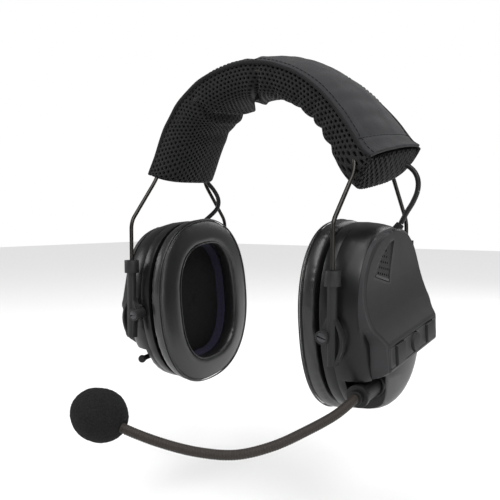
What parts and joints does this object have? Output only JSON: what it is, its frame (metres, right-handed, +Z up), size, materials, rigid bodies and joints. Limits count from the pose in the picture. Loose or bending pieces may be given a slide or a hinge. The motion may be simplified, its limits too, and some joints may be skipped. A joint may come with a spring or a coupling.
{
  "type": "communication headset",
  "caption": "Over-ear communication headset with spring-wire padded headband, sliding tilting ear cups, keys on one cup and a gooseneck boom microphone.",
  "frame": {"origin": "midpoint between the wearer's ears, on the tilt axes of both cups at their stored height", "axes": "+X to the wearer's left, the boom's side; -Y to the front; +Z up"},
  "size_m": [0.1722, 0.1707, 0.1905],
  "materials": {
    "spring_wire": "dark plated spring steel wire, satin",
    "pad_foam": "soft open foam",
    "spacer_mesh": "black three-dimensional spacer mesh with staggered holes",
    "woven_nylon": "black plain-woven nylon",
    "cable_jacket": "smooth black cable jacket",
    "leatherette": "satin-gloss black leatherette",
    "liner_cloth": "dark bluish knitted cloth over foam",
    "shell_plastic": "satin moulded black plastic",
    "panel_plastic": "finely textured dark grey plastic",
    "dark_plastic": "matte black plastic",
    "slider_plastic": "satin dark grey plastic",
    "key_rubber": "matte silicone rubber",
    "black_rubber": "matte rubber",
    "gooseneck_jacket": "finely ribbed brownish dark grey jacket",
    "open_cell_foam": "black open-cell foam",
    "screw_steel": "blackened steel",
    "speaker_steel": "plated steel",
    "board_laminate": "green solder-masked laminate",
    "battery_wrap": "shrink-wrapped cell"
  },
  "bodies": {
    "headband": {"front_wire": "spring_wire", "rear_wire": "spring_wire", "head_pad": "pad_foam", "head_mesh_liner": "spacer_mesh", "head_cover": "woven_nylon", "cup_cable": "cable_jacket"},
    "left_front_slide": {"left_front_slider": "slider_plastic"},
    "left_rear_slide": {"left_rear_slider": "slider_plastic"},
    "right_front_slide": {"right_front_slider": "slider_plastic"},
    "right_rear_slide": {"right_rear_slider": "slider_plastic"},
    "left_cup": {"left_ear_cushion": "leatherette", "left_cushion_plate": "dark_plastic", "left_ear_liner": "liner_cloth", "left_inner_shell": "shell_plastic", "left_outer_shell": "shell_plastic", "left_panel": "panel_plastic", "left_panel_badge": "dark_plastic", "left_baffle": "dark_plastic", "left_speaker": "speaker_steel", "left_speaker_magnet": "speaker_steel", "left_shell_screws": "screw_steel", "left_pivot_screws": "screw_steel", "left_cable_grommet": "black_rubber", "left_boom_socket": "dark_plastic", "left_radio_board": "board_laminate", "left_button_board": "board_laminate"},
    "right_cup": {"right_ear_cushion": "leatherette", "right_cushion_plate": "dark_plastic", "right_ear_liner": "liner_cloth", "right_inner_shell": "shell_plastic", "right_outer_shell": "shell_plastic", "right_panel": "panel_plastic", "right_panel_badge": "dark_plastic", "right_baffle": "dark_plastic", "right_speaker": "speaker_steel", "right_speaker_magnet": "speaker_steel", "right_shell_screws": "screw_steel", "right_pivot_screws": "screw_steel", "right_cable_grommet": "black_rubber", "right_boom_socket": "dark_plastic", "right_battery": "battery_wrap", "right_charge_board": "board_laminate", "right_socket_plug": "black_rubber"},
    "key_front": {"front_button": "key_rubber"},
    "key_middle": {"middle_button": "key_rubber"},
    "key_rear": {"rear_button": "key_rubber"},
    "boom_root": {"boom_plug": "dark_plastic", "boom_collar": "dark_plastic", "gooseneck_inner": "gooseneck_jacket"},
    "boom_arm": {"gooseneck_outer": "gooseneck_jacket", "flex_ball": "gooseneck_jacket", "mic_capsule": "speaker_steel", "foam_windscreen": "open_cell_foam"}
  },
  "joints": [
    {"name": "left_cup_height", "type": "slide", "parent": "headband", "child": "left_front_slide", "axis": [0, 0, 1], "range_m": [-0.018, 0.006], "deforming": ["cup_cable"]},
    {"name": "left_rear_height", "type": "slide", "parent": "headband", "child": "left_rear_slide", "axis": [0, 0, 1], "range_m": [-0.018, 0.006]},
    {"name": "right_cup_height", "type": "slide", "parent": "headband", "child": "right_front_slide", "axis": [0, 0, 1], "range_m": [-0.018, 0.006]},
    {"name": "right_rear_height", "type": "slide", "parent": "headband", "child": "right_rear_slide", "axis": [0, 0, 1], "range_m": [-0.018, 0.006]},
    {"name": "left_cup_tilt", "type": "hinge", "parent": "left_front_slide", "child": "left_cup", "pos_m": [0.05975, -0.04273, -0.00563], "axis": [0, 0.9914, 0.1305], "range_deg": [-10, 10]},
    {"name": "right_cup_tilt", "type": "hinge", "parent": "right_front_slide", "child": "right_cup", "pos_m": [-0.05975, -0.04273, -0.00563], "axis": [0, -0.9914, -0.1305], "range_deg": [-10, 10]},
    {"name": "boom_swivel", "type": "hinge", "parent": "left_cup", "child": "boom_root", "pos_m": [0.07, -0.01383, -0.03289], "axis": [0, 0.9914, 0.1305], "range_deg": [-25, 70]},
    {"name": "boom_flex", "type": "hinge", "parent": "boom_root", "child": "boom_arm", "pos_m": [0.043, -0.088, -0.051], "axis": [0, 0, 1], "range_deg": [-25, 25]},
    {"name": "front_press", "type": "slide", "parent": "left_cup", "child": "key_front", "axis": [-1, 0, 0], "range_m": [0, 0.0008], "stiffness_N_per_m": 900, "springref_m": -0.0004},
    {"name": "middle_press", "type": "slide", "parent": "left_cup", "child": "key_middle", "axis": [-1, 0, 0], "range_m": [0, 0.0008], "stiffness_N_per_m": 900, "springref_m": -0.0004},
    {"name": "rear_press", "type": "slide", "parent": "left_cup", "child": "key_rear", "axis": [-1, 0, 0], "range_m": [0, 0.0008], "stiffness_N_per_m": 900, "springref_m": -0.0004}
  ],
  "couplings": [
    {"joint": "left_rear_height", "follows": "left_cup_height", "ratio": 1},
    {"joint": "right_rear_height", "follows": "right_cup_height", "ratio": 1}
  ]
}
